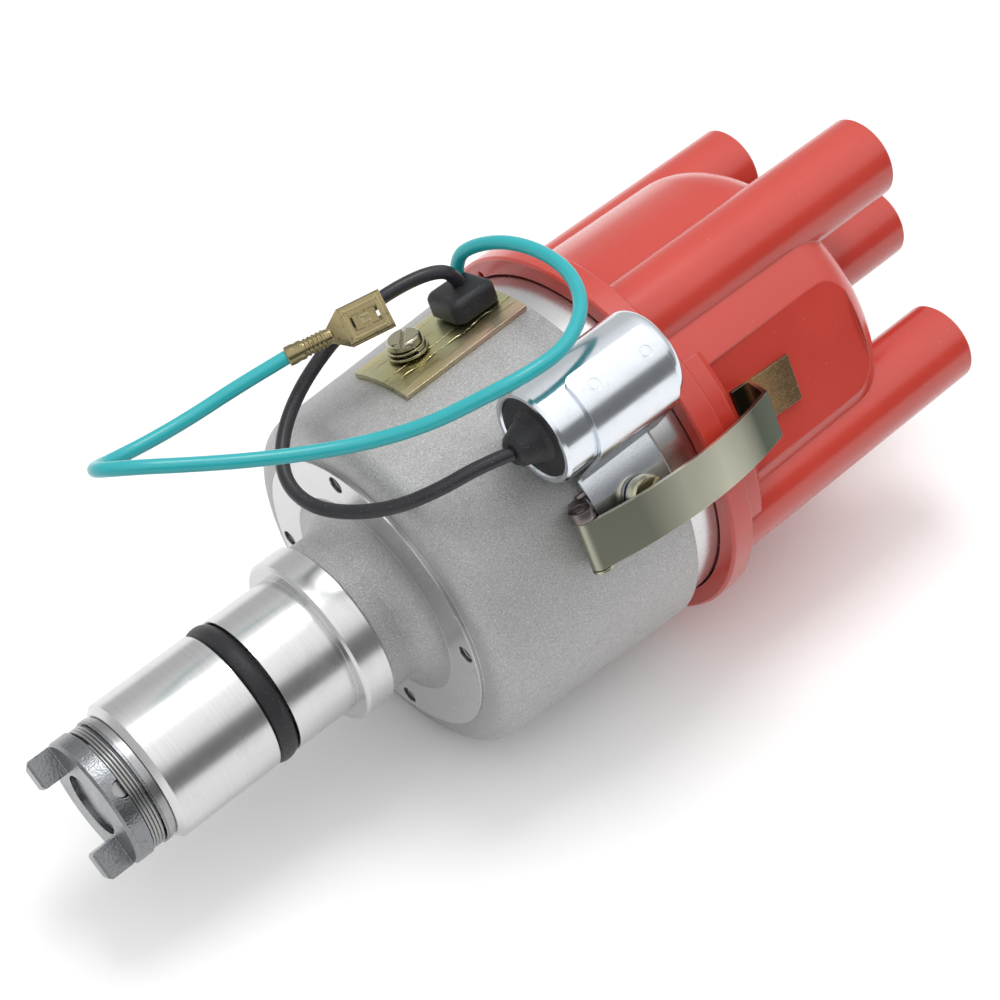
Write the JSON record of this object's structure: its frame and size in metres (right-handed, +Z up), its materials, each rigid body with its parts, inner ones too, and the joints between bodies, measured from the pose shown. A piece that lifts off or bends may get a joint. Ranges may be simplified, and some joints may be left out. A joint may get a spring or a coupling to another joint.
{
  "type": "ignition distributor",
  "caption": "Ignition distributor with a clamping shank, cast bowl, clipped moulded cap with lead towers, side condenser and leads.",
  "frame": {"origin": "on the shaft's axis, where the shank's full diameter starts above its lower chamfer", "axes": "+Z up the shaft to the cap, +X towards the plug tower beside the condenser, +Y towards the next tower counter-clockwise from above"},
  "size_m": [0.096, 0.0766, 0.1982],
  "materials": {
    "cast_housing": "as-cast, machined at the shank, shoulder and rim band",
    "red_plastic": "moulded thermoset, semi-gloss",
    "dark_plastic": "moulded thermoset",
    "black_rubber": "smooth",
    "black_cable": "soft cable cover",
    "green_cable": "soft cable cover",
    "zinc_yellow": "yellow zinc plated",
    "steel": "turned or stamped",
    "spring_steel": "spring strip",
    "bronze": "sintered bronze",
    "brass": "stamped or turned",
    "can_metal": "drawn and bright",
    "tungsten": "contact face",
    "carbon": "pressed carbon",
    "felt": "oiled felt",
    "fibre": "pressed fibre"
  },
  "bodies": {
    "housing": {"housing": "cast_housing", "shank_oring": "black_rubber", "lower_bush": "bronze", "upper_bush": "bronze", "breaker_plate": "zinc_yellow", "breaker_plate_screws": "steel", "breaker_pivot": "steel", "fixed_contact": "tungsten", "fixed_contact_bracket": "zinc_yellow", "contact_screw": "steel", "breaker_spring": "spring_steel", "spring_terminal": "brass", "front_clip_bracket": "steel", "rear_clip_bracket": "steel", "front_clip_pin": "steel", "rear_clip_pin": "steel", "condenser_can": "can_metal", "condenser_seal": "black_rubber", "condenser_strap": "can_metal", "condenser_washer": "steel", "condenser_screw": "steel", "rear_clip_washer": "steel", "rear_clip_screw": "steel", "window_plate": "zinc_yellow", "window_washers": "steel", "window_screw": "zinc_yellow", "lead_grommet": "black_rubber", "condenser_lead": "black_cable", "coil_lead": "green_cable", "lead_terminal": "brass"},
    "shaft": {"drive_shaft": "steel", "drive_dog": "steel", "dog_pin": "steel", "dog_retaining_spring": "spring_steel", "lower_thrust_washers": "steel", "upper_thrust_washer": "fibre", "advance_plate": "steel", "weight_pivots": "steel", "advance_spring_a": "spring_steel", "advance_spring_b": "spring_steel"},
    "weight_a": {"advance_weight_a": "steel"},
    "weight_b": {"advance_weight_b": "steel"},
    "cam": {"cam_yoke": "steel", "cam_sleeve": "steel", "cam_clip_ring": "spring_steel", "oil_felt": "felt", "rotor_arm": "dark_plastic", "rotor_contact": "brass"},
    "breaker": {"breaker_arm": "steel", "rubbing_block": "fibre", "moving_contact": "tungsten"},
    "cap": {"distributor_cap": "red_plastic", "side_terminals": "brass", "centre_terminal": "brass", "brush_spring": "spring_steel"},
    "brush": {"carbon_brush": "carbon"},
    "front_clip": {"front_clip": "spring_steel"},
    "rear_clip": {"rear_clip": "spring_steel"}
  },
  "joints": [
    {"name": "shaft_spin", "type": "hinge", "parent": "housing", "child": "shaft", "pos_m": [0, 0, 0], "axis": [0, 0, 1], "continuous": true},
    {"name": "cam_advance", "type": "hinge", "parent": "shaft", "child": "cam", "pos_m": [0, 0, 0], "axis": [0, 0, 1], "range_deg": [-10.8, 0], "stiffness_Nm_per_rad": 0.05, "deforming": ["advance_spring_a", "advance_spring_b"]},
    {"name": "weight_a_swing", "type": "hinge", "parent": "shaft", "child": "weight_a", "pos_m": [0.016, 0, 0.0615], "axis": [0, 0, 1], "range_deg": [-10.01, 0]},
    {"name": "weight_b_swing", "type": "hinge", "parent": "shaft", "child": "weight_b", "pos_m": [-0.016, 0, 0.0615], "axis": [0, 0, 1], "range_deg": [-10.01, 0]},
    {"name": "breaker_pivot", "type": "hinge", "parent": "housing", "child": "breaker", "pos_m": [-0.017, 0.0134, 0.0804], "axis": [0, 0, 1], "range_deg": [0, 3], "stiffness_Nm_per_rad": 0.02, "springref_deg": -5.73, "deforming": ["breaker_spring"]},
    {"name": "cap_lift", "type": "slide", "parent": "housing", "child": "cap", "axis": [0, 0, 1], "range_m": [0, 0.04]},
    {"name": "brush_slide", "type": "slide", "parent": "cap", "child": "brush", "axis": [0, 0, 1], "range_m": [0, 0.003], "stiffness_N_per_m": 60, "springref_m": -0.004, "deforming": ["brush_spring"]},
    {"name": "front_clip_open", "type": "hinge", "parent": "housing", "child": "front_clip", "pos_m": [0.02679, 0.02736, 0.076], "axis": [-0.7594, 0.6486, -0.0523], "range_deg": [0, 110.1]},
    {"name": "rear_clip_open", "type": "hinge", "parent": "housing", "child": "rear_clip", "pos_m": [-0.02679, -0.02736, 0.076], "axis": [0.7594, -0.6486, -0.0523], "range_deg": [0, 110.1]}
  ],
  "couplings": [
    {"joint": "weight_a_swing", "follows": "cam_advance", "ratio": 0.9259},
    {"joint": "weight_b_swing", "follows": "cam_advance", "ratio": 0.9259},
    {"joint": "front_clip_open", "follows": "cap_lift", "rad_per_m": 48},
    {"joint": "rear_clip_open", "follows": "cap_lift", "rad_per_m": 48}
  ]
}
